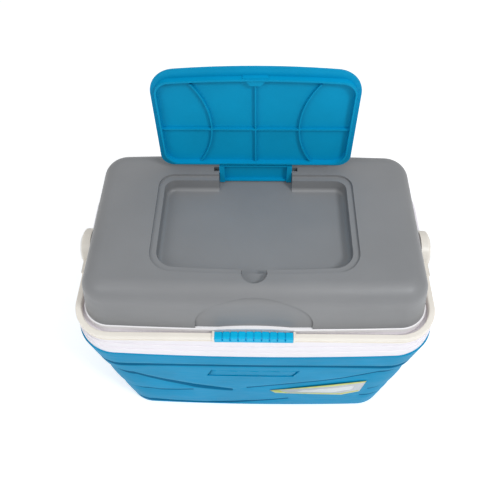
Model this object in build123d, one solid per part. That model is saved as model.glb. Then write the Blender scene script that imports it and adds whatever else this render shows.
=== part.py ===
from build123d import *
import os

# Cooler chest, in millimetres. The origin is the middle of the underside,
# X to the right, Y to the back, Z up. The front is the side towards -Y.
# The hatch is modelled standing open and the handle lying forward.

# A plan is (half width, half depth, corner radius, bow of the front and back).
SHELL_FOOT = (217.0, 113.0, 46.0, 5.0)
SHELL_RIM = (240.0, 142.0, 55.0, 7.0)
SHELL_TOP = 260.0
SHELL_WALL = 6.0
SHELL_FLOOR = 4.0
FOOT_ROUND = 9.0
BASE_PLUG_X = 120.0
BASE_PLUG_RADIUS = 11.0
BASE_PLUG_RISE = 1.0

# The top of the shell stands out as a flange.
FLANGE_LOW = 226.0
FLANGE_STEP = 1.0

NAME_PANEL = ((-70, 173), (57, 173), (66, 201), (-61, 201))
NAME_PANEL_DEPTH = 1.4
LABEL = ((24, 100), (33, 84), (139, 71), (165, 90), (167, 146), (67, 112))
LABEL_THICK = 0.4

TUB_FLOOR = 30.0
TUB_WALL = 2.5
TUB_FOOT = (188.0, 88.0, 30.0, 2.0)
TUB_MOUTH = (204.0, 108.0, 34.0, 3.0)

# The collar climbs in three steps to a ledge, with a raised land inside it.
COLLAR_STEPS = ((260.0, 273.0, 3.0), (273.0, 284.5, 1.5), (284.5, 300.0, 0.0))
COLLAR_STEP = (235.5, 138.0, 53.0, 7.0)
COLLAR_WALL = 3.0
COLLAR_LEDGE = 300.0
LAND = (220.0, 130.0, 38.0, 5.0)
LAND_TOP = 309.0

PIVOT_Z = 307.0
BOSS_RADIUS = 27.0
BOSS_EDGE = 3.5
BOSS_INNER = 222.8
BOSS_OUTER = 235.2
POCKET_RADIUS = 29.0
POCKET_FACE = 222.5
BLOCK_RADIUS = 32.0
PIN_RADIUS = 7.0
PIN_PLAY = 0.08
PIN_END = 208.5
TOWER_INNER = 219.5
TOWER_RADIUS = 20.0
CAP_RADIUS = 20.0
CAP_INNER = 235.5
CAP_OUTER = 238.4

STRAP_LOW = 302.5
STRAP_HIGH = 313.5
STRAP_OUTER = 231.3
STRAP_THICK = 7.8
STRAP_FRONT = 140.3
STRAP_CORNER = 50.0
STRAP_EDGE = 1.8
STRAP_GROOVE = (305.2, 307.2, 1.3)
ARM_BACK = -46.0
ARM_HIGH = 314.7
SHOULDER_LONG = 3.0
GRIP_HALF = 49.0
GRIP_FRONT = -141.8
GRIP_BACK = -131.7
GRIP_LOW = 303.0
GRIP_TOP = 317.0
GRIP_CROWN = 620.0
GRIP_EDGE = 2.2
GRIP_PADS = 10
PAD_GAP = 1.8
PAD_HEIGHT = 1.4
PAD_FOOT = 308.0

RIM = (219.0, 130.2, 37.0, 5.0)
RIM_LOW = 309.3
RIM_HIGH = 316.0
RIM_AT_ARCH = 3.6
ARCH_HALF = 62.0
ARCH_RISE = 6.5
ARCH_DEPTH = 9.0
PLUG = (202.4, 106.3, 33.0, 3.0)
PLUG_LOW = 291.5
PAN_WALL = 2.6

LID_FOOT = (217.4, 128.7, 36.0, 5.0)
LID_TOP = (209.0, 118.5, 31.0, 5.0)
LID_HIGH = 379.0
LID_WALL = 3.0
LID_ROUND = 24.0
SCOOP_HALF = 73.0
SCOOP_WAIST = 325.0
SCOOP_HIGH = 371.0
SCOOP_DEPTH = 2.2

SEAT_HALF = 129.8
SEAT_FRONT = -82.5
SEAT_BACK = 72.5
SEAT_FRONT_CORNER = 30.0
SEAT_BACK_CORNER = 20.0
SEAT_BOW = 5.0
SEAT_Z = 375.5
TRAY_IN = 8.0
TRAY_FLOOR = 357.0
NOTCH_RADIUS = 16.0
NOTCH_FLOOR = 367.0
BAY_HALF = 49.8
BAY_BACK = 99.2

HINGE_Y = 82.0
HINGE_Z = 374.0
HINGE_PIN_RADIUS = 2.0
HINGE_PLAY = 0.08
HATCH_OPEN = 91.0
HATCH_GAP = 1.4
HATCH_LOW = 375.8
HATCH_FRONT_HALF = 125.6
HATCH_BACK_HALF = 126.8
HATCH_BOW = 7.0
HATCH_FRONT_CORNER = 33.0
HATCH_BACK_CORNER = 17.0
FRAME_HALF = 120.0
FRAME_REACH = 151.0
FRAME_BACK = 20.0
FRAME_CORNER = 20.0
FRAME_WALL = 2.2
FRAME_DEPTH = 7.5
RIB_DEPTH = 4.0
RIB_WALL = 1.8
TONGUE_HALF = 49.3
TONGUE_REACH = 15.0


def outline(plan, height):
    """A rounded rectangle with bowed front and back, lying level at a height."""
    half_width, half_depth, corner, bow = plan
    side = half_depth - bow
    front = ThreePointArc((-half_width, -side), (0, -half_depth), (half_width, -side))
    right = Line((half_width, -side), (half_width, side))
    back = ThreePointArc((half_width, side), (0, half_depth), (-half_width, side))
    left = Line((-half_width, side), (-half_width, -side))
    face = make_face([front, right, back, left])
    face = fillet(face.vertices(), corner)
    return Pos(0, 0, height) * face


def grown(plan, by):
    """The same plan with every side moved outward."""
    half_width, half_depth, corner, bow = plan
    return (half_width + by, half_depth + by, corner + by, bow)


def blend(low, high, share):
    """The plan part of the way from one plan to another."""
    return tuple(a + (b - a) * share for a, b in zip(low, high))


def block(low, low_z, high, high_z):
    """A solid with straight drafted walls between two plans."""
    return loft([outline(low, low_z), outline(high, high_z)], ruled=True)


def shell_plan(height):
    """The outer skin's plan at a height."""
    return blend(SHELL_FOOT, SHELL_RIM, height / SHELL_TOP)


def box(x0, x1, y0, y1, z0, z1):
    """A box between two opposite corners."""
    solid = Box(x1 - x0, y1 - y0, z1 - z0)
    return Pos((x0 + x1) / 2, (y0 + y1) / 2, (z0 + z1) / 2) * solid


def rod_x(radius, x0, x1, y, z):
    """A round bar along X."""
    bar = Rot(0, 90, 0) * Cylinder(radius, abs(x1 - x0))
    return Pos((x0 + x1) / 2, y, z) * bar


def column(points, y0, y1):
    """A shape drawn in front view, carried from one y to another."""
    flat = make_face(Polyline(*points, close=True))
    return Pos(0, y1, 0) * extrude(Plane.XZ * flat, y1 - y0)


# ---------------------------------------------------------------- outer shell

def shell_cavity():
    """The room inside the outer shell, which the foam fills."""
    low = grown(shell_plan(SHELL_FLOOR), -SHELL_WALL)
    return block(low, SHELL_FLOOR, grown(SHELL_RIM, -SHELL_WALL), SHELL_TOP)


def skin_layer(points, depth, outside):
    """The part of the skin between two depths, cut to a shape seen from the front."""
    tall = shell_plan(0), 0, SHELL_RIM, SHELL_TOP
    outer = block(grown(tall[0], outside), 0, grown(tall[2], outside), SHELL_TOP)
    inner = block(grown(tall[0], -depth), 0, grown(tall[2], -depth), SHELL_TOP)
    return (outer - inner) & column(points, -200, 0)


def make_outer_shell():
    """The blue moulding, with its top flange, blank name panel and plug holes."""
    lower = block(SHELL_FOOT, 0, grown(shell_plan(FLANGE_LOW), -FLANGE_STEP), FLANGE_LOW)
    solid = fillet(lower.edges().group_by(Axis.Z)[0], FOOT_ROUND)
    solid = solid + block(shell_plan(FLANGE_LOW), FLANGE_LOW, SHELL_RIM, SHELL_TOP)
    solid = solid - skin_layer(NAME_PANEL, NAME_PANEL_DEPTH, 2.0)
    solid = solid - shell_cavity()
    for x in (-BASE_PLUG_X, BASE_PLUG_X):
        solid = solid - Pos(x, 0, 0) * Cylinder(BASE_PLUG_RADIUS, 3 * SHELL_FLOOR)
    return solid


def make_base_plug(x):
    """The stopper of a foam filling hole, a little above the underside."""
    tall = SHELL_FLOOR - BASE_PLUG_RISE
    plug = Cylinder(BASE_PLUG_RADIUS, tall)
    return Pos(x, 0, BASE_PLUG_RISE + tall / 2) * plug


def make_label():
    """The thin sticker on the front, right of the middle."""
    return skin_layer(LABEL, 0.0, LABEL_THICK)


# ---------------------------------------------------------------- liner

def tub_outside():
    """The outside of the tub, from under its floor to the land."""
    low = grown(TUB_FOOT, TUB_WALL)
    return block(low, TUB_FLOOR - TUB_WALL, grown(TUB_MOUTH, TUB_WALL), LAND_TOP)


def tub_inside():
    """The room for food and drink."""
    room = block(TUB_FOOT, TUB_FLOOR, TUB_MOUTH, LAND_TOP)
    return fillet(room.edges().group_by(Axis.Z)[0], 8)


def collar_hollow():
    """The room inside the collar, open below."""
    low = block(grown(COLLAR_STEP, -COLLAR_WALL), SHELL_TOP, grown(COLLAR_STEP, -COLLAR_WALL),
                COLLAR_LEDGE - COLLAR_WALL)
    high = block(grown(LAND, -COLLAR_WALL), COLLAR_LEDGE - COLLAR_WALL,
                 grown(LAND, -COLLAR_WALL), LAND_TOP - COLLAR_WALL)
    return low + high


def pivot_block(hand):
    """The solid lump behind each pivot, and the thin tower above it."""
    lump = rod_x(BLOCK_RADIUS, hand * 204, hand * COLLAR_STEP[0], 0, PIVOT_Z)
    under = box(-250, 250, -60, 60, COLLAR_STEPS[0][0] + 1, COLLAR_LEDGE)
    land = box(-LAND[0], LAND[0], -60, 60, COLLAR_LEDGE, LAND_TOP)
    tower = rod_x(TOWER_RADIUS, hand * TOWER_INNER, hand * POCKET_FACE, 0, PIVOT_Z)
    return (lump & (under + land)) + (tower & box(-250, 250, -60, 60, COLLAR_LEDGE, 340))


def pivot_anchor(hand):
    """The flat tongue of a pivot pin, under the lid's flange."""
    return box(*sorted((hand * PIN_END, hand * TOWER_INNER)), -5, 5, 300.5, 306.0)


def make_inner_liner():
    """The white tub and its stepped collar, one moulding."""
    solid = block(LAND, COLLAR_LEDGE - 1, LAND, LAND_TOP)
    for low, high, out in COLLAR_STEPS:
        plan = grown(COLLAR_STEP, out)
        step = block(plan, low, plan, high)
        step = fillet(step.edges().group_by(Axis.Z)[-1], 1.2)
        solid = solid + step
    solid = solid - collar_hollow() + tub_outside()
    for hand in (-1, 1):
        solid = solid + pivot_block(hand)
    solid = solid - tub_inside()
    for hand in (-1, 1):
        solid = solid - rod_x(POCKET_RADIUS, hand * POCKET_FACE, hand * 250, 0, PIVOT_Z)
        solid = solid - rod_x(PIN_RADIUS, hand * TOWER_INNER, hand * POCKET_FACE, 0, PIVOT_Z)
        solid = solid - pivot_anchor(hand)
    return solid


def make_body_foam():
    """The foam between the shell and the liner."""
    solid = shell_cavity() + collar_hollow()
    solid = solid - tub_outside()
    for hand in (-1, 1):
        solid = solid - pivot_block(hand)
    return solid


def make_pivot_pin(hand):
    """A pin through the boss of the handle, with a round cap and a flat tongue."""
    shaft = rod_x(PIN_RADIUS, hand * TOWER_INNER, hand * CAP_INNER, 0, PIVOT_Z)
    cap = rod_x(CAP_RADIUS, hand * CAP_INNER, hand * CAP_OUTER, 0, PIVOT_Z)
    outside = cap.faces().sort_by(Axis.X)[-1 if hand > 0 else 0]
    cap = fillet(outside.edges(), 1.4)
    return shaft + cap + pivot_anchor(hand)


# ---------------------------------------------------------------- handle

def bail_outline(inward):
    """The U of the handle in plan, filled in, with its sides moved inward."""
    half = STRAP_OUTER - inward
    front = -(STRAP_FRONT - inward)
    face = make_face(Polyline((-half, 0), (-half, front), (half, front), (half, 0), close=True))
    corners = face.vertices().group_by(Axis.Y)[0]
    return fillet(corners, STRAP_CORNER - inward)


def bail_layer(inward, low, high):
    """A slice of the filled U between two heights."""
    return Pos(0, 0, low) * extrude(bail_outline(inward), high - low)


def make_bail():
    """The white handle: a bail with a groove along it and a boss at each end."""
    solid = bail_layer(0, STRAP_LOW, STRAP_HIGH)
    solid = solid - bail_layer(STRAP_THICK, STRAP_LOW - 1, STRAP_HIGH + 1)
    long_edges = solid.edges().group_by(Axis.Z)
    solid = fillet(long_edges[0] + long_edges[-1], STRAP_EDGE)
    low, high, deep = STRAP_GROOVE
    solid = solid - (bail_layer(-1, low, high) - bail_layer(deep, low, high))
    for hand in (-1, 1):
        arm = sorted((hand * BOSS_INNER, hand * (STRAP_OUTER + 1.1)))
        solid = solid + box(*arm, ARM_BACK, -2, STRAP_LOW, ARM_HIGH)
        solid = solid + boss(hand)
        solid = solid - rod_x(PIN_RADIUS + PIN_PLAY, hand * 215, hand * 240, 0, PIVOT_Z)
        solid = solid + grip_shoulder(hand)
    gap = box(-GRIP_HALF, GRIP_HALF, -150, -125, 290, 330) - grip_core()
    return solid - gap


def boss(hand):
    """The round end of the handle, its outer edge rounded over."""
    disc = rod_x(BOSS_RADIUS, hand * BOSS_INNER, hand * BOSS_OUTER, 0, PIVOT_Z)
    outside = disc.faces().sort_by(Axis.X)[-1 if hand > 0 else 0]
    return fillet(outside.edges(), BOSS_EDGE)


def grip_shoulder(hand):
    """The collar on the bar that the grip's end butts against."""
    ends = sorted((hand * GRIP_HALF, hand * (GRIP_HALF + SHOULDER_LONG)))
    shoulder = box(*ends, GRIP_FRONT + 0.2, GRIP_BACK + 0.1, STRAP_LOW, GRIP_TOP - 0.5)
    return fillet(shoulder.edges(), 1.0)


def grip_core():
    """The thinner part of the bar inside the grip."""
    return box(-GRIP_HALF - 1, GRIP_HALF + 1, -138.9, -134.2, 304.6, 311.5)


def crown(radius):
    """Everything below the arched top of the grip."""
    middle = (GRIP_FRONT + GRIP_BACK) / 2
    return Pos(0, middle, GRIP_TOP - GRIP_CROWN) * (Rot(90, 0, 0) * Cylinder(radius, 40))


def make_grip():
    """The blue sleeve on the bar, with a row of raised pads on its arched top."""
    length = GRIP_HALF - 0.1
    solid = box(-length, length, GRIP_FRONT, GRIP_BACK, GRIP_LOW, GRIP_TOP) & crown(GRIP_CROWN)
    lengthwise = solid.edges().filter_by(lambda edge: edge.length > length)
    solid = fillet(lengthwise, GRIP_EDGE)
    pitch = 2 * length / GRIP_PADS
    for index in range(1, GRIP_PADS):
        x = -length + index * pitch
        slot = box(x - PAD_GAP / 2, x + PAD_GAP / 2, -150, -125, PAD_FOOT, GRIP_TOP + 3)
        keep = box(x - PAD_GAP / 2, x + PAD_GAP / 2, GRIP_FRONT + PAD_HEIGHT,
                   GRIP_BACK - PAD_HEIGHT, PAD_FOOT, GRIP_TOP + 3)
        solid = solid - (slot - (keep & crown(GRIP_CROWN - PAD_HEIGHT)))
    return solid - grip_core()


# ---------------------------------------------------------------- lid

def arch(rise):
    """Everything below the arch over the grip, in a strip along the front of the lid."""
    radius = (ARCH_HALF ** 2 + ARCH_RISE ** 2) / (2 * ARCH_RISE)
    top = RIM_LOW + ARCH_RISE + rise
    disc = Pos(0, 0, top - radius) * (Rot(90, 0, 0) * Cylinder(radius, 400))
    strip = box(-ARCH_HALF, ARCH_HALF, -140, -RIM[1] + ARCH_DEPTH, RIM_LOW - 5, top + 5)
    return disc & strip


def make_lid_liner():
    """The white rim around the lid and the pan that drops in the tub."""
    solid = block(RIM, RIM_LOW, RIM, RIM_HIGH)
    solid = fillet(solid.edges().group_by(Axis.Z)[-1], 1.2)
    tall_rim = block(RIM, RIM_LOW, RIM, RIM_HIGH + ARCH_RISE + 2)
    solid = solid + (tall_rim & arch(RIM_AT_ARCH)) - arch(0)
    solid = solid + block(PLUG, PLUG_LOW, PLUG, RIM_LOW + 1)
    solid = solid - lid_low_room()
    ring = seal_ring(0)
    return solid - ring


def lid_low_room():
    """The foam's room in the pan and inside the rim."""
    pan = grown(PLUG, -PAN_WALL)
    low = block(pan, PLUG_LOW + PAN_WALL, pan, RIM_LOW + PAN_WALL)
    wide = grown(RIM, -ARCH_DEPTH - 1)
    high = block(wide, RIM_LOW + PAN_WALL, wide, RIM_HIGH)
    return low + high


def seal_ring(gap):
    """The soft ring under the lid's flange, in its groove."""
    low = RIM_LOW - gap
    outer = block(grown(PLUG, 7), low, grown(PLUG, 7), RIM_LOW + 1.4)
    inner = block(grown(PLUG, 3), low - 1, grown(PLUG, 3), RIM_LOW + 2)
    return outer - inner


def make_lid_seal():
    """The soft ring, its lower face level with the flange."""
    return seal_ring(0)


def lid_inside():
    """The inside of the grey shell, before the tray is taken away."""
    low = grown(LID_FOOT, -LID_WALL)
    high = grown(LID_TOP, -LID_WALL)
    solid = block(low, RIM_HIGH, high, LID_HIGH - LID_WALL)
    return fillet(solid.edges().group_by(Axis.Z)[-1], LID_ROUND - LID_WALL)


def recess(inset, floor, top):
    """A pocket in the lid's top with the outline of the hatch seat, inset."""
    half = SEAT_HALF - inset
    front = SEAT_FRONT + inset
    back = SEAT_BACK - inset
    lines = [
        ThreePointArc((-half, front), (0, front - SEAT_BOW), (half, front)),
        Line((half, front), (half, back)),
        Line((half, back), (-half, back)),
        Line((-half, back), (-half, front)),
    ]
    face = make_face(lines)
    corners = face.vertices().sort_by(Axis.Y)
    face = fillet(corners[:2], SEAT_FRONT_CORNER - 0.7 * inset)
    corners = face.vertices().group_by(Axis.Y)[-1]
    face = fillet(corners, SEAT_BACK_CORNER - 0.7 * inset)
    return Pos(0, 0, floor) * extrude(face, top - floor)


def bay(grow, floor, top):
    """The slot behind the tray where the hatch's tongue swings."""
    half = BAY_HALF + grow
    return box(-half, half, 50, BAY_BACK + grow, floor, top)


def lid_pockets(wall):
    """Seat, tray, bay and thumb notch; with a wall they are that much bigger."""
    top = LID_HIGH + 2
    seat = recess(-wall, SEAT_Z - wall, top)
    tray = recess(TRAY_IN - wall, TRAY_FLOOR - wall, top)
    tray = fillet(tray.edges().group_by(Axis.Z)[0], 5)
    slot = bay(wall, TRAY_FLOOR - wall, top)
    notch = Pos(0, SEAT_FRONT - 2.5, NOTCH_FLOOR - wall) * extrude(
        make_face(CenterArc((0, 0), NOTCH_RADIUS + wall, 0, 360)), top - NOTCH_FLOOR + wall)
    return seat + tray + slot + notch


def pin_lug(hand):
    """The solid lump that holds a hinge pin, beside the bay."""
    return box(*sorted((hand * 48, hand * 66)), HINGE_Y - 8, HINGE_Y + 8, 364, LID_HIGH - 1)


def scoop(lid):
    """The shallow arched hollow in the front of the lid, above the grip."""
    dome = Ellipse(SCOOP_HALF, SCOOP_HIGH - SCOOP_WAIST)
    dome = Pos(0, -40, SCOOP_WAIST) * extrude(Plane.XZ * dome, 120)
    doorway = box(-SCOOP_HALF, SCOOP_HALF, -160, -40, RIM_HIGH - 1, SCOOP_WAIST)
    reach = dome & box(-200, 200, -160, -40, SCOOP_WAIST, LID_HIGH)
    return (lid - Pos(0, SCOOP_DEPTH, -SCOOP_DEPTH / 2) * lid) & (reach + doorway)


def make_lid_shell():
    """The grey moulding on top, with the tray, the hatch seat and the hinge bay."""
    solid = block(LID_FOOT, RIM_HIGH, LID_TOP, LID_HIGH)
    solid = fillet(solid.edges().group_by(Axis.Z)[-1], LID_ROUND)
    solid = solid - scoop(solid)
    room = lid_inside() - lid_pockets(LID_WALL)
    for hand in (-1, 1):
        room = room - pin_lug(hand)
    room = room - thick_front()
    solid = solid - room - lid_pockets(0) - arch(RIM_AT_ARCH)
    for hand in (-1, 1):
        solid = solid - box(*sorted((hand * 49, hand * 57)), HINGE_Y - 4, HINGE_Y + 4, 371, 381)
        solid = solid - rod_x(HINGE_PIN_RADIUS, hand * 49, hand * 63, HINGE_Y, HINGE_Z)
    return solid


def thick_front():
    """The thicker wall behind the scoop and the arch."""
    return box(-90, 90, -140, -LID_FOOT[1] + ARCH_DEPTH + 4, RIM_HIGH - 1, LID_HIGH)


def make_lid_foam():
    """The foam inside the lid."""
    solid = lid_inside() - lid_pockets(LID_WALL) - thick_front()
    for hand in (-1, 1):
        solid = solid - pin_lug(hand)
    return solid + lid_low_room()


def make_hinge_pin(hand):
    """A short steel pin, held in the lid and turning in the tongue's cheek."""
    return rod_x(HINGE_PIN_RADIUS, hand * 43, hand * 63, HINGE_Y, HINGE_Z)


# ---------------------------------------------------------------- hatch

def hatch_face(back):
    """The hatch's outline in plan when it is shut, its front edge bowed."""
    front = SEAT_FRONT + HATCH_GAP + HATCH_BOW - SEAT_BOW
    lines = [
        ThreePointArc((-HATCH_FRONT_HALF, front), (0, front - HATCH_BOW), (HATCH_FRONT_HALF, front)),
        Line((HATCH_FRONT_HALF, front), (HATCH_BACK_HALF, back)),
        Line((HATCH_BACK_HALF, back), (-HATCH_BACK_HALF, back)),
        Line((-HATCH_BACK_HALF, back), (-HATCH_FRONT_HALF, front)),
    ]
    face = make_face(lines)
    corners = face.vertices().sort_by(Axis.Y)
    face = fillet(corners[:2], HATCH_FRONT_CORNER)
    corners = face.vertices().group_by(Axis.Y)[-1]
    return fillet(corners, HATCH_BACK_CORNER)


def slab(face, low, high):
    """A level plate between two heights."""
    return Pos(0, 0, low) * extrude(face, high - low)


def frame_face(inset):
    """The outline of the frame under the hatch."""
    half = FRAME_HALF - inset
    front = HINGE_Y - FRAME_REACH + inset
    back = HINGE_Y - FRAME_BACK - inset
    lines = [
        ThreePointArc((-half, front), (0, front - SEAT_BOW), (half, front)),
        Line((half, front), (half, back)),
        Line((half, back), (-half, back)),
        Line((-half, back), (-half, front)),
    ]
    face = make_face(lines)
    return fillet(face.vertices(), FRAME_CORNER - inset)


def arc_rib(hand):
    """A rib bowed towards the middle of the hatch."""
    y0, y1, y2 = HINGE_Y - FRAME_REACH + 4, HINGE_Y - 78, HINGE_Y - FRAME_BACK
    outer = ThreePointArc((hand * 78, y0), (hand * 56, y1), (hand * 76, y2))
    inner = ThreePointArc((hand * (78 - RIB_WALL), y0), (hand * (56 - RIB_WALL), y1),
                          (hand * (76 - RIB_WALL), y2))
    ends = [Line(outer @ 0, inner @ 0), Line(outer @ 1, inner @ 1)]
    return make_face([outer, inner] + ends)


def tongue():
    """The part of the hatch that turns on the pins: a plate, two cheeks and a lip."""
    y0 = HINGE_Y - TONGUE_REACH
    y1 = HINGE_Y + TONGUE_REACH
    solid = box(-TONGUE_HALF, TONGUE_HALF, y0, y1, HATCH_LOW, LID_HIGH)
    solid = solid + box(-TONGUE_HALF, TONGUE_HALF, y1 - 2.5, y1, HINGE_Z - 3, LID_HIGH)
    solid = solid + box(-TONGUE_HALF, TONGUE_HALF, y0, y0 + 2.5, HINGE_Z - 3, LID_HIGH)
    for hand in (-1, 1):
        cheek = box(*sorted((hand * 42.5, hand * TONGUE_HALF)), y0, y1, HINGE_Z - 5, LID_HIGH)
        solid = solid + cheek
        solid = solid - rod_x(HINGE_PIN_RADIUS + HINGE_PLAY, hand * 42.4, hand * 50, HINGE_Y, HINGE_Z)
    return solid


def make_hatch():
    """The blue hatch with its frame, ribs, snap tab and tongue, standing open."""
    solid = slab(hatch_face(HINGE_Y - 12), HATCH_LOW, LID_HIGH)
    solid = fillet(solid.edges().group_by(Axis.Z)[-1], 1.2)
    frame_low = HATCH_LOW - FRAME_DEPTH
    frame = slab(frame_face(0), frame_low, HATCH_LOW)
    frame = frame - slab(frame_face(FRAME_WALL), frame_low, HATCH_LOW)
    solid = solid + frame
    rib_low = HATCH_LOW - RIB_DEPTH
    ribs = box(-RIB_WALL / 2, RIB_WALL / 2, HINGE_Y - FRAME_REACH, HINGE_Y - FRAME_BACK,
               rib_low, HATCH_LOW)
    ribs = ribs + box(-FRAME_HALF + 1, FRAME_HALF - 1, HINGE_Y - 79, HINGE_Y - 77, rib_low, HATCH_LOW)
    for hand in (-1, 1):
        ribs = ribs + slab(arc_rib(hand), rib_low, HATCH_LOW)
    solid = solid + ribs
    reach = HINGE_Y - FRAME_REACH
    tab = make_face(Polyline((-15, reach - 6), (15, reach - 6), (6, reach + 5), (-6, reach + 5),
                             close=True))
    solid = solid + slab(tab, HATCH_LOW - 6, HATCH_LOW)
    solid = solid + tongue()
    return turned(solid)


def turned(shut):
    """Swing a piece from the shut to the open position about the hinge."""
    return Pos(0, HINGE_Y, HINGE_Z) * (Rot(-HATCH_OPEN, 0, 0) * (Pos(0, -HINGE_Y, -HINGE_Z) * shut))


NODES = {
    "outer_shell": make_outer_shell,
    "body_insulation": make_body_foam,
    "inner_liner": make_inner_liner,
    "base_plug_left": lambda: make_base_plug(-BASE_PLUG_X),
    "base_plug_right": lambda: make_base_plug(BASE_PLUG_X),
    "front_label": make_label,
    "pivot_pin_left": lambda: make_pivot_pin(-1),
    "pivot_pin_right": lambda: make_pivot_pin(1),
    "handle_bail": make_bail,
    "handle_grip": make_grip,
    "lid_liner": make_lid_liner,
    "lid_seal": make_lid_seal,
    "lid_shell": make_lid_shell,
    "lid_insulation": make_lid_foam,
    "hinge_pin_left": lambda: make_hinge_pin(-1),
    "hinge_pin_right": lambda: make_hinge_pin(1),
    "hatch_door": make_hatch,
}

os.makedirs("parts", exist_ok=True)
for name, make in NODES.items():
    export_step(make(), f"parts/{name}.step")
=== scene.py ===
import math

import bmesh
import bpy
import numpy as np
from mathutils import Matrix, Vector


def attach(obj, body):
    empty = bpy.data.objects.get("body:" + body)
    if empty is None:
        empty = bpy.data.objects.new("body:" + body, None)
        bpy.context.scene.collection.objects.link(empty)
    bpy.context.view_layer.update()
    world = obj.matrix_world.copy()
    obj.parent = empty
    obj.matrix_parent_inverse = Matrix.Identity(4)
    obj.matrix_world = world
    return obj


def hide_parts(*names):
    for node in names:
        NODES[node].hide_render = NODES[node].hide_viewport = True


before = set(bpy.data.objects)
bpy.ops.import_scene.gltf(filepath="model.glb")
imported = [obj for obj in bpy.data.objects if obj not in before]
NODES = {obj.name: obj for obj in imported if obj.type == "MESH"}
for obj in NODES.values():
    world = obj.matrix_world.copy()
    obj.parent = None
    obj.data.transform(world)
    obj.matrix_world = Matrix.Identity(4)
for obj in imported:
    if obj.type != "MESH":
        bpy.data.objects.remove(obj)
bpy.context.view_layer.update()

MM = 0.001

# The label's ends on the front, in millimetres from the middle.
LABEL_LEFT = 24.0
LABEL_RIGHT = 167.0


# ------------------------------------------------------------------ materials

def linear(red, green, blue):
    """An sRGB colour, given 0 to 255, as a linear colour with alpha."""
    def one(value):
        share = value / 255
        return share / 12.92 if share <= 0.04045 else ((share + 0.055) / 1.055) ** 2.4
    return (one(red), one(green), one(blue), 1.0)


def new_material(name):
    """An empty node material and its shader."""
    material = bpy.data.materials.new(name)
    material.use_nodes = True
    tree = material.node_tree
    tree.nodes.clear()
    output = tree.nodes.new("ShaderNodeOutputMaterial")
    shader = tree.nodes.new("ShaderNodeBsdfPrincipled")
    tree.links.new(shader.outputs["BSDF"], output.inputs["Surface"])
    return material, tree, shader


def noise(tree, scale, detail, place, stretch=(1, 1, 1)):
    """A noise texture in object space; scale is in features per metre."""
    mapping = tree.nodes.new("ShaderNodeMapping")
    mapping.inputs["Scale"].default_value = stretch
    tree.links.new(place.outputs["Object"], mapping.inputs["Vector"])
    texture = tree.nodes.new("ShaderNodeTexNoise")
    texture.inputs["Scale"].default_value = scale
    texture.inputs["Detail"].default_value = detail
    tree.links.new(mapping.outputs["Vector"], texture.inputs["Vector"])
    return texture.outputs["Fac"]


def ranged(tree, value, low, high):
    """A value between 0.3 and 0.7 carried to a new range."""
    node = tree.nodes.new("ShaderNodeMapRange")
    node.inputs["From Min"].default_value = 0.3
    node.inputs["From Max"].default_value = 0.7
    node.inputs["To Min"].default_value = low
    node.inputs["To Max"].default_value = high
    tree.links.new(value, node.inputs["Value"])
    return node.outputs["Result"]


def tinted(tree, value, low, high):
    """A colour between two, by a value."""
    mix = tree.nodes.new("ShaderNodeMix")
    mix.data_type = "RGBA"
    mix.inputs["A"].default_value = low
    mix.inputs["B"].default_value = high
    tree.links.new(ranged(tree, value, 0, 1), mix.inputs["Factor"])
    return mix.outputs["Result"]


def bumped(tree, shader, heights):
    """Chain bumps; each is (height, strength, distance in metres)."""
    normal = None
    for height, strength, distance in heights:
        bump = tree.nodes.new("ShaderNodeBump")
        bump.inputs["Strength"].default_value = strength
        bump.inputs["Distance"].default_value = distance
        tree.links.new(height, bump.inputs["Height"])
        if normal:
            tree.links.new(normal, bump.inputs["Normal"])
        normal = bump.outputs["Normal"]
    tree.links.new(normal, shader.inputs["Normal"])


def moulded(name, colour, rough, grain, grain_depth, drift=0.06, scuffs=0.05, gloss=0.5):
    """Moulded plastic: a fine grain, slow unevenness, and a slight drift of colour.
    grain is in features per metre, grain_depth in metres."""
    material, tree, shader = new_material(name)
    place = tree.nodes.new("ShaderNodeTexCoord")
    slow = noise(tree, 14, 3, place)
    fine = noise(tree, grain, 2, place)
    flow = noise(tree, 40, 4, place, (1, 1, 6))
    low = tuple(c * (1 - drift) for c in colour[:3]) + (1.0,)
    high = tuple(min(1.0, c * (1 + drift)) for c in colour[:3]) + (1.0,)
    tree.links.new(tinted(tree, slow, low, high), shader.inputs["Base Color"])
    tree.links.new(ranged(tree, flow, rough - scuffs, rough + scuffs), shader.inputs["Roughness"])
    bumped(tree, shader, [(fine, 0.5, grain_depth), (slow, 0.25, 0.0006)])
    shader.inputs["IOR"].default_value = 1.49
    shader.inputs["Specular IOR Level"].default_value = gloss
    return material


def foam(name, colour):
    """Poured foam, with small cells."""
    material, tree, shader = new_material(name)
    place = tree.nodes.new("ShaderNodeTexCoord")
    cells = noise(tree, 500, 3, place)
    pale = tuple(min(1.0, c * 1.15) for c in colour[:3]) + (1.0,)
    tree.links.new(tinted(tree, cells, colour, pale), shader.inputs["Base Color"])
    tree.links.new(ranged(tree, cells, 0.8, 0.95), shader.inputs["Roughness"])
    bumped(tree, shader, [(cells, 0.6, 0.0005)])
    return material


def steel(name):
    """Drawn wire, with fine scratches along it, from left to right."""
    material, tree, shader = new_material(name)
    place = tree.nodes.new("ShaderNodeTexCoord")
    drawn = noise(tree, 900, 2, place, (0.1, 1, 1))
    dark, light = linear(150, 152, 155), linear(205, 206, 208)
    tree.links.new(tinted(tree, drawn, dark, light), shader.inputs["Base Color"])
    tree.links.new(ranged(tree, drawn, 0.22, 0.38), shader.inputs["Roughness"])
    bumped(tree, shader, [(drawn, 0.2, 0.00005)])
    shader.inputs["Metallic"].default_value = 1.0
    return material


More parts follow.
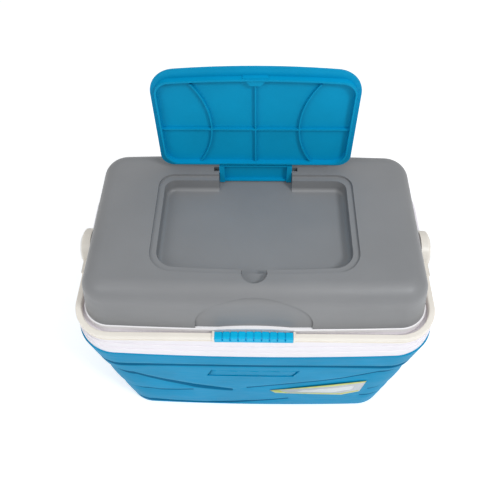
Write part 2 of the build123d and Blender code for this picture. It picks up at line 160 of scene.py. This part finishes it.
def printed(name, colour, other, sheen):
    """Printed foil: a colour that fades across to another."""
    material, tree, shader = new_material(name)
    place = tree.nodes.new("ShaderNodeTexCoord")
    split = tree.nodes.new("ShaderNodeSeparateXYZ")
    tree.links.new(place.outputs["Object"], split.inputs["Vector"])
    across = tree.nodes.new("ShaderNodeMapRange")
    across.inputs["From Min"].default_value = LABEL_LEFT * MM
    across.inputs["From Max"].default_value = LABEL_RIGHT * MM
    across.inputs["To Min"].default_value = 0.3
    across.inputs["To Max"].default_value = 0.7
    tree.links.new(split.outputs["X"], across.inputs["Value"])
    fine = noise(tree, 1200, 2, place)
    tree.links.new(tinted(tree, across.outputs["Result"], colour, other),
                   shader.inputs["Base Color"])
    tree.links.new(ranged(tree, fine, 0.28, 0.36), shader.inputs["Roughness"])
    bumped(tree, shader, [(fine, 0.1, 0.00003)])
    shader.inputs["Metallic"].default_value = sheen
    return material


SHELL_BLUE = moulded("shell_blue", linear(0, 142, 188), 0.5, 700, 0.00012, gloss=0.06)
# A painted shadow, worn only by the strip under each flow line: its cast shadow alone is hard to
# see.
SHELL_PAINTED_SHADOW = moulded("shell_painted_shadow", linear(0, 98, 140), 0.6, 700, 0.00012, gloss=0.04)
HATCH_BLUE = moulded("hatch_blue", linear(0, 148, 194), 0.5, 900, 0.00012, gloss=0.12)
GRIP_BLUE = moulded("grip_blue", linear(0, 176, 222), 0.4, 900, 0.00006, gloss=0.15)
LID_GREY = moulded("lid_grey", linear(131, 132, 134), 0.45, 900, 0.00018, 0.035)
LINER_WHITE = moulded("liner_white", linear(240, 236, 242), 0.4, 700, 0.00005, 0.02)
RIM_WHITE = moulded("rim_white", linear(244, 242, 244), 0.4, 700, 0.00005, 0.02)
BAIL_WHITE = moulded("handle_white", linear(240, 234, 224), 0.38, 700, 0.00006, 0.03)
CAP_WHITE = moulded("cap_white", linear(250, 250, 250), 0.32, 700, 0.00004, 0.01)
SEAL_GREY = moulded("seal_grey", linear(120, 120, 122), 0.7, 500, 0.0001)
FOAM_CREAM = foam("foam", linear(235, 225, 180))
PIN_STEEL = steel("pin_steel")
LABEL_SILVER = printed("label_silver", linear(140, 145, 142), linear(182, 183, 186), 0.3)
LABEL_LIME = printed("label_lime", linear(170, 186, 58), linear(196, 202, 84), 0.1)
LABEL_PALE = printed("label_pale", linear(188, 192, 190), linear(214, 216, 218), 0.1)

FINISHES = {
    "body_insulation": FOAM_CREAM,
    "lid_insulation": FOAM_CREAM,
    "inner_liner": LINER_WHITE,
    "lid_liner": RIM_WHITE,
    "base_plug_left": LINER_WHITE,
    "base_plug_right": LINER_WHITE,
    "pivot_pin_left": CAP_WHITE,
    "pivot_pin_right": CAP_WHITE,
    "handle_bail": BAIL_WHITE,
    "handle_grip": GRIP_BLUE,
    "lid_seal": SEAL_GREY,
    "lid_shell": LID_GREY,
    "hinge_pin_left": PIN_STEEL,
    "hinge_pin_right": PIN_STEEL,
    "hatch_door": HATCH_BLUE,
    "outer_shell": SHELL_BLUE,
    "front_label": LABEL_SILVER,
}


def paint(piece, material):
    """The piece wears one material."""
    piece.data.materials.clear()
    piece.data.materials.append(material)


for name, material in FINISHES.items():
    paint(NODES[name], material)


# ------------------------------------------------------------------ the shell's skin

# All of these are in millimetres. They repeat the design, apart from WALL, which is the
# skin's own. A plan is (half width, half depth, corner radius, bow of the front and back).
FOOT = np.array((217.0, 113.0, 46.0, 5.0))
MOUTH = np.array((240.0, 142.0, 55.0, 7.0))
TOP = 260.0
FOOT_ROUND = 9.0
WALL = 5.6
LIP_ROUND = 1.2
PLUG_X = 120.0
PLUG_RADIUS = 11.0

# A strip below a line wears the painted shadow where the line is deeper than SHADED_DEPTH. A
# deeper line hides more of the skin below it from the steep camera, so the strip is SHADED_HEIGHT
# and SHADED_PER_DEPTH times the depth high, within its share of the slope.
SHADED_DEPTH = 1.2
SHADED_HEIGHT = 5.0
SHADED_PER_DEPTH = 1.45
SHADED_SHARE = 0.75

# The rows that a line adds to a column are at least this far above each other.
ROW_GAP = 0.15

# The underside is rings this far in from the outline; the inside is rings at heights.
FLOOR_INSETS = (60.0, 45.0, 30.0, 20.0, 14.0)
INSIDE_HEIGHTS = (TOP, 200.0, 120.0, 40.0, WALL)
FRONT_COLUMNS = 130
SIDE_COLUMNS = 26
CORNER_COLUMNS = 14


def plan_at(height):
    """The shell's plan at a height."""
    return FOOT + (MOUTH - FOOT) * height / TOP


def skin(face, place, height, out):
    """A point of the skin. place is -1 to 1 along a straight face, or 0 to 1 round a
    corner; out is how far outside the skin the point lies."""
    half_width, half_depth, corner, bow = plan_at(height)
    straight = half_width - corner
    drop = bow * (straight / half_width) ** 2
    depth = half_depth - drop
    kind, sign_x, sign_y = face
    if kind == "front":
        x = place * straight
        y = half_depth - bow * (x / half_width) ** 2 + out
    elif kind == "side":
        x = half_width + out
        y = place * (depth - corner)
    else:
        turn = place * math.pi / 2
        x = straight + (corner + out) * math.sin(turn)
        y = depth - corner + (corner + out) * math.cos(turn)
    return (sign_x * x, sign_y * y, height)


# The flow lines of the shell, drawn. Each line is: the (height, step, depth) that
# the left side keeps, the stops along the front, which the back repeats, the same three
# for the right side, and how far below the line the skin starts to slope in, or less where
# another line or the foot is near. A stop is (x, height of the line,
# height of the step, depth of the step); left of the middle x is negative. A line runs
# straight between its stops, and fades out where its depth goes to nothing.
LINES = {
    "foot": (
        (33, 3, 4.2),
        ((-168, 27, 3, 4.2), (-130, 21, 3, 4.0), (-86, 20, 3, 4.0), (-43, 27, 3, 3.8),
         (0, 36, 3, 3.6), (30, 44, 2, 3.2), (52, 52.5, 2, 2.2), (60, 54.5, 2, 0.0),
         (110, 64, 2, 0.0), (160, 70, 2, 0.0), (175, 71, 2, 2.4)),
        (72, 3, 4.2),
        24,
    ),
    "middle": (
        (117, 3, 4.5),
        ((-168, 97, 3, 4.5), (-150, 91, 3, 4.4), (-120, 94, 3, 4.0), (-102, 98, 3, 3.2),
         (-92, 99.5, 2, 0.0), (-50, 90, 2, 0.0), (0, 84, 2, 0.0), (110, 92, 2, 0.0),
         (170, 106, 2, 0.0), (180, 108, 2, 2.4)),
        (128, 3, 4.5),
        42,
    ),
    "sweep": (
        (199, 5, 4.4),
        ((-176, 180, 11, 4.4), (-158, 165, 13, 4.6), (-135, 150, 13, 4.6),
         (-91, 127, 10, 4.4), (-60, 115, 8, 4.0), (-40, 107, 7, 3.0), (-30, 107, 6, 0.0),
         (-24, 111, 3, 0.0), (-10, 117, 2, 1.8), (55, 139, 2, 3.4), (100, 154, 3, 3.8),
         (128, 166, 4, 4.2), (162, 187, 5, 4.4), (178, 197, 5, 4.4)),
        (201, 5, 4.4),
        55,
    ),
    "flange": (
        (216, 1.5, 4.2),
        ((-176, 219, 1.5, 3.8), (-150, 222, 1.5, 3.2), (-110, 225, 1.5, 2.6),
         (-60, 227, 1.5, 2.2), (0, 227.5, 1.5, 2.2), (60, 227, 1.5, 2.2),
         (110, 225, 1.5, 2.6), (150, 222, 1.5, 3.2), (176, 219, 1.5, 3.8)),
        (216, 1.5, 4.2),
        14,
    ),
}


def along(stops, x):
    """The line's height, step and depth at x on the front."""
    places = [stop[0] for stop in stops]
    return tuple(float(np.interp(x, places, [stop[k] for stop in stops])) for k in (1, 2, 3))


def line_at(line, face, place):
    """A flow line's height, step and depth in one column of the shell."""
    left, stops, right, _ = line
    kind, sign_x, _ = face
    end = right if sign_x > 0 else left
    if kind == "side":
        return end
    if kind == "front":
        # The shell narrows downwards, so x and the line's height are found together.
        height = 100.0
        for _ in range(4):
            half_width, _, corner, _ = plan_at(height)
            x = place * sign_x * (half_width - corner)
            height, step, depth = along(stops, x)
        return height, step, depth
    entry = line_at(line, ("front", sign_x, 1), 1.0)
    share = math.sin(place * math.pi / 2)
    return tuple(a + (b - a) * share for a, b in zip(entry, end))


def relief(line, values, floor):
    """(height, inward offset, shaded) rows that one flow line adds to a column, from its
    foot up. The skin slopes in under the line, starting above the floor."""
    height, step, depth = values
    low = height - step
    ramp = min(line[3], max(3.0, low - floor - 1.0))
    deep = depth > SHADED_DEPTH
    shade = min(SHADED_PER_DEPTH * depth + SHADED_HEIGHT, SHADED_SHARE * ramp)
    rows = [(low - ramp, 0.0, False)]
    for below in (0.9 * ramp, 0.8 * ramp, shade, 0.4 * shade):
        share = 1 - below / ramp
        rows.append((low - below, depth * share ** 1.6, deep and below <= shade))
    rows += [(low, depth, deep), (low + 0.25 * step, depth * 0.8, deep),
             (low + 0.8 * step, depth * 0.2, False)]
    rows += [(height, depth * 0.06, False), (height + 1.2, 0.0, False)]
    return rows


def spread(low, high, count):
    """Evenly spaced heights between two, without the ends."""
    return [low + (high - low) * (i + 1) / (count + 1) for i in range(count)]


def column_rows(face, place):
    """(height, inward offset, shaded) from the foot to the top of one column."""
    rows = []
    for angle in np.linspace(0, math.pi / 2, 6):
        rows.append((FOOT_ROUND * (1 - math.cos(angle)) + 0.001,
                     FOOT_ROUND * (1 - math.sin(angle)), False))
    floor = rows[-1][0]
    for name, count in (("foot", 2), ("middle", 8), ("sweep", 8), ("flange", 6)):
        line = LINES[name]
        added = relief(line, line_at(line, face, place), floor)
        start = max(added[0][0], floor + 0.6)
        rows += [(z, 0.0, False) for z in spread(floor, start, count)]
        for z, inward, shaded in added:
            z = max(z, rows[-1][0] + ROW_GAP)
            rows.append((z, inward, shaded))
        floor = rows[-1][0]
    rows += [(z, 0.0, False) for z in spread(floor, TOP - LIP_ROUND, 5)]
    rows += [(TOP - LIP_ROUND, 0.0, False), (TOP - 0.35, 0.35, False),
             (TOP, LIP_ROUND, False)]
    return rows


def columns():
    """Every column of the shell in order round it: (face, place)."""
    made = []
    front = np.linspace(-1, 1, FRONT_COLUMNS)
    side = np.linspace(1, -1, SIDE_COLUMNS)
    turns = np.linspace(0, 1, CORNER_COLUMNS + 2)[1:-1]
    made += [(("front", 1, -1), t) for t in front]
    made += [(("corner", 1, -1), t) for t in turns]
    made += [(("side", 1, -1), t) for t in side]
    made += [(("corner", 1, 1), 1 - t) for t in turns]
    made += [(("front", 1, 1), -t) for t in front]
    made += [(("corner", -1, 1), t) for t in turns]
    made += [(("side", -1, 1), t) for t in side]
    made += [(("corner", -1, -1), 1 - t) for t in turns]
    return made


def ring(points, verts, mesh):
    """Add one ring of vertices."""
    verts.append([mesh.verts.new(Vector(p) * MM) for p in points])


def make_shell():
    """The blue outer shell: one closed skin with its flow lines, and a plain inside.
    The faces under a flow line wear the second material, a darker blue painted shadow."""
    mesh = bmesh.new()
    stations = columns()
    profiles = [column_rows(face, place) for face, place in stations]
    rings = []
    for inset in FLOOR_INSETS:
        ring([skin(f, p, 0.0, -inset) for f, p in stations], rings, mesh)
    for row in range(len(profiles[0])):
        points = [skin(f, p, prof[row][0], -prof[row][1])
                  for (f, p), prof in zip(stations, profiles)]
        ring(points, rings, mesh)
    for height in INSIDE_HEIGHTS:
        ring([skin(f, p, height, -WALL) for f, p in stations], rings, mesh)
    for level, (low, high) in enumerate(zip(rings, rings[1:])):
        row = level - len(FLOOR_INSETS)
        for i in range(len(low)):
            j = (i + 1) % len(low)
            face = mesh.faces.new((low[i], low[j], high[j], high[i]))
            if 0 <= row < len(profiles[0]) and profiles[i][row][2] and profiles[j][row][2]:
                face.material_index = 1
    mesh.faces.new(list(reversed(rings[0])))
    mesh.faces.new(rings[-1])
    bmesh.ops.recalc_face_normals(mesh, faces=mesh.faces)
    skin_piece = finished("shell_skin", mesh, SHELL_BLUE)
    skin_piece.data.materials.append(SHELL_PAINTED_SHADOW)
    return skin_piece


def finished(name, mesh, material):
    """The mesh as a smooth-shaded object in the scene, wearing one material first."""
    data = bpy.data.meshes.new(name)
    mesh.to_mesh(data)
    mesh.free()
    piece = bpy.data.objects.new(name, data)
    bpy.context.scene.collection.objects.link(piece)
    data.materials.append(material)
    for polygon in data.polygons:
        polygon.use_smooth = True
    return piece


def cut(piece, tool):
    """Take one closed mesh out of another, for good."""
    modifier = piece.modifiers.new("cut", "BOOLEAN")
    modifier.object = tool
    modifier.operation = "DIFFERENCE"
    modifier.solver = "EXACT"
    graph = bpy.context.evaluated_depsgraph_get()
    data = bpy.data.meshes.new_from_object(piece.evaluated_get(graph))
    piece.modifiers.clear()
    piece.data = data
    bpy.data.objects.remove(tool)


def crease(piece, degrees):
    """Sharp edges where the surface turns by more than an angle."""
    mesh = bmesh.new()
    mesh.from_mesh(piece.data)
    limit = math.radians(degrees)
    for edge in mesh.edges:
        edge.smooth = len(edge.link_faces) == 2 and edge.calc_face_angle(0) < limit
    for face in mesh.faces:
        face.smooth = True
    mesh.to_mesh(piece.data)
    mesh.free()


def front_y(x, height, out):
    """Where the front of the shell is, in millimetres."""
    half_width, half_depth, _, bow = plan_at(height)
    return -(half_depth - bow * (x / half_width) ** 2 + out)


# Millimetres; a patch's edges are halved until they are about this short.
LONGEST_EDGE = 9.0


def front_patch(name, outline, inner, outer, material):
    """A thin plate that lies on the front: an (x, height) outline between two depths.
    It is cut fine enough to follow the bow of the front."""
    mesh = bmesh.new()
    loop = [mesh.verts.new((x * MM, 0, z * MM)) for x, z in outline]
    edges = [mesh.edges.new((loop[i], loop[(i + 1) % len(loop)])) for i in range(len(loop))]
    bmesh.ops.triangle_fill(mesh, edges=edges, use_beauty=True)
    for _ in range(4):
        long = [e for e in mesh.edges if e.calc_length() > LONGEST_EDGE * MM]
        if long:
            bmesh.ops.subdivide_edges(mesh, edges=long, cuts=1, use_grid_fill=False)
            bmesh.ops.triangulate(mesh, faces=mesh.faces)
    outline_edges = [e for e in mesh.edges if len(e.link_faces) == 1]
    back = {v: mesh.verts.new(v.co) for v in list(mesh.verts)}
    for face in list(mesh.faces):
        mesh.faces.new([back[v] for v in reversed(face.verts)])
    for edge in outline_edges:
        a, b = edge.verts
        mesh.faces.new((a, b, back[b], back[a]))
    for front, rear in back.items():
        x, z = front.co.x / MM, front.co.z / MM
        front.co.y = front_y(x, z, outer) * MM
        rear.co.y = front_y(x, z, inner) * MM
    bmesh.ops.recalc_face_normals(mesh, faces=mesh.faces)
    return finished(name, mesh, material)


def disc_tool(x, radius, low, high):
    """A closed upright cylinder to cut with."""
    mesh = bmesh.new()
    turn = Matrix.Translation(Vector((x, 0, (low + high) / 2)) * MM)
    bmesh.ops.create_cone(mesh, cap_ends=True, segments=64, radius1=radius * MM,
                          radius2=radius * MM, depth=(high - low) * MM, matrix=turn)
    return finished("tool", mesh, SHELL_BLUE)


# The name panel is a sunk frame round a blank plate; depths are negative below the skin.
NAME_PANEL = ((-69, 173.5), (56, 173.5), (64.5, 200.5), (-60.5, 200.5))
NAME_PLATE = ((-65.5, 176), (54, 176), (60.5, 198), (-59, 198))
PANEL_FLOOR = -2.4
PLATE_FOOT = -2.6
PLATE_FACE = -0.9

# Tools reach this far past the skin that they cut.
PANEL_TOOL_PAST = 3.0
PLUG_TOOL_PAST = 2.0
SHARP_FROM_DEGREES = 38

shell = make_shell()
cut(shell, front_patch("tool", NAME_PANEL, PANEL_FLOOR, PANEL_TOOL_PAST, SHELL_BLUE))
for plug_x in (-PLUG_X, PLUG_X):
    cut(shell, disc_tool(plug_x, PLUG_RADIUS, -PLUG_TOOL_PAST, WALL + PLUG_TOOL_PAST))
crease(shell, SHARP_FROM_DEGREES)
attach(shell, "chest")
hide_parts("outer_shell")

plate = front_patch("name_plate", NAME_PLATE, PLATE_FOOT, PLATE_FACE, SHELL_BLUE)
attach(plate, "chest")
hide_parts("outer_shell")


# ------------------------------------------------------------------ the printed label

# Outlines are (x, height) on the front, in millimetres; all of it is plain artwork.
LABEL_BASE = ((24, 100), (33, 84), (139, 71), (165, 90), (167, 146), (67, 112))
SWOOSHES = {
    "label_swoosh_upper": ((26, 100), (67, 113.5), (167, 147.5), (166, 140), (120, 121),
                           (70, 108.5)),
    "label_swoosh_lower": ((31, 86), (139, 73), (164, 91), (163, 97), (136, 79.5), (80, 84.5)),
    "label_swoosh_tip": ((25, 99), (33, 85.5), (58, 84), (44, 92), (40, 99)),
}
PALE_FIELD = ((62, 97), (74, 90.5), (122, 87), (152, 103), (152, 124), (110, 110.5))
LABEL_THICK = 0.4
PRINT_THICK = 0.08


def label_piece(name, outline, inner, outer, material):
    """One layer of the label, standing where the design's label stands."""
    piece = front_patch(name, outline, inner, outer, material)
    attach(piece, "chest")
    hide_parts("front_label")


label_piece("label_base", LABEL_BASE, 0.02, LABEL_THICK, LABEL_SILVER)
for name, outline in SWOOSHES.items():
    label_piece(name, outline, LABEL_THICK, LABEL_THICK + PRINT_THICK, LABEL_LIME)
label_piece("label_pale", PALE_FIELD, LABEL_THICK, LABEL_THICK + PRINT_THICK, LABEL_PALE)


# ------------------------------------------------------------------ light, floor, camera

def area_light(name, place, target, size, power, tint=(1, 1, 1)):
    """A soft square light that looks at a point."""
    data = bpy.data.lights.new(name, "AREA")
    data.size = size
    data.energy = power
    data.color = tint
    light = bpy.data.objects.new(name, data)
    light.location = place
    light.rotation_euler = (Vector(target) - Vector(place)).to_track_quat("-Z", "Y").to_euler()
    bpy.context.scene.collection.objects.link(light)


def make_floor():
    """A plain pale floor."""
    mesh = bmesh.new()
    bmesh.ops.create_grid(mesh, x_segments=1, y_segments=1, size=6)
    material, tree, shader = new_material("floor_pale")
    shader.inputs["Base Color"].default_value = (0.93, 0.93, 0.93, 1)
    shader.inputs["Roughness"].default_value = 0.9
    shader.inputs["Emission Color"].default_value = (1, 1, 1, 1)
    shader.inputs["Emission Strength"].default_value = 0.45
    floor = finished("floor", mesh, material)
    floor.location.z = -0.0005


def make_world(strength):
    """Even white surroundings."""
    world = bpy.data.worlds.new("surroundings")
    bpy.context.scene.world = world
    world.use_nodes = True
    background = world.node_tree.nodes["Background"]
    background.inputs["Color"].default_value = (1, 1, 1, 1)
    background.inputs["Strength"].default_value = strength


def make_camera():
    """The camera, looking steeply down at the front."""
    down, aside, roll = math.radians(54.9), math.radians(-1.8), math.radians(1.0)
    forward = Vector((math.sin(aside) * math.cos(down), math.cos(aside) * math.cos(down),
                      -math.sin(down)))
    right = Vector((math.cos(aside), -math.sin(aside), 0))
    below = forward.cross(right)
    across = math.cos(roll) * right + math.sin(roll) * below
    up = math.sin(roll) * right - math.cos(roll) * below
    data = bpy.data.cameras.new("camera")
    data.lens = 40.3
    camera = bpy.data.objects.new("camera", data)
    turn = Matrix((across, up, -forward)).transposed().to_4x4()
    camera.matrix_world = Matrix.Translation((0.007, -0.4487, 0.9426)) @ turn
    bpy.context.scene.collection.objects.link(camera)
    bpy.context.scene.camera = camera


make_floor()
make_world(0.46)
area_light("overhead", (0.1, -0.2, 1.9), (0, 0, 0.3), 1.2, 5)
area_light("front_right", (0.9, -0.85, 1.75), (0, 0, 0.3), 0.35, 13, (0.95, 0.98, 1.0))
area_light("front_left", (-1.0, -0.9, 1.6), (0, 0, 0.2), 0.7, 5, (0.95, 0.98, 1.0))
make_camera()
bpy.context.scene.view_settings.view_transform = "Standard"
